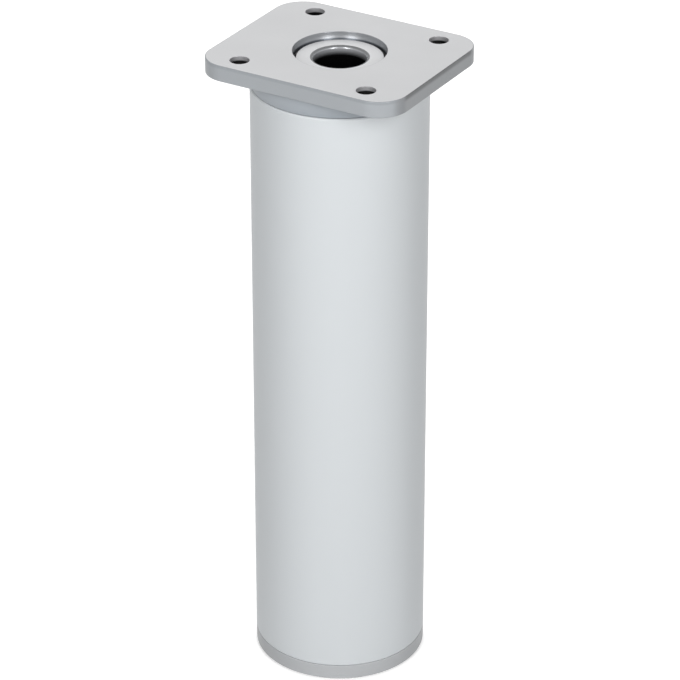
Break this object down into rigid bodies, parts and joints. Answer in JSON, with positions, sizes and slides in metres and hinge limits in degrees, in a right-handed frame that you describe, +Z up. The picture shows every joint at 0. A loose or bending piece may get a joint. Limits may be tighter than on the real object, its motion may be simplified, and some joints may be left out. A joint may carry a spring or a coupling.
{
  "type": "height adjustable table leg",
  "caption": "Round aluminium table leg with a screw-on mounting plate and a grey foot, set for height with a key from above.",
  "frame": {"origin": "on the leg's axis, on the floor under the glide pad", "axes": "+Z up along the leg towards the mounting plate, X along the plate's long side"},
  "size_m": [0.05, 0.042, 0.1528],
  "materials": {
    "plate_steel": "satin",
    "hub_steel": "satin",
    "head_casting": "satin",
    "tube_aluminium": "satin anodised",
    "plug_plastic": "matte",
    "fastener_steel": "zinc plated",
    "spindle_steel": "zinc plated",
    "clip_steel": "phosphated",
    "foot_plastic": "satin",
    "pad_rubber": "matte"
  },
  "bodies": {
    "leg": {"mounting_plate": "plate_steel", "threaded_hub": "hub_steel", "head_plug": "head_casting", "tube": "tube_aluminium", "guide_plug": "plug_plastic", "spindle_nut": "fastener_steel"},
    "foot": {"foot_disc": "foot_plastic", "glide_pad": "pad_rubber", "thrust_washer": "fastener_steel", "spindle_bush": "fastener_steel"},
    "screw": {"spindle": "spindle_steel", "stop_clip": "clip_steel"}
  },
  "joints": [
    {"name": "foot_travel", "type": "slide", "parent": "leg", "child": "foot", "axis": [0, 0, -1], "range_m": [0, 0.015]},
    {"name": "spindle_turn", "type": "hinge", "parent": "foot", "child": "screw", "pos_m": [0, 0, 0.02], "axis": [0, 0, -1], "range_deg": [0, 3600]}
  ],
  "couplings": [
    {"joint": "spindle_turn", "follows": "foot_travel", "rad_per_m": 4188.8}
  ]
}
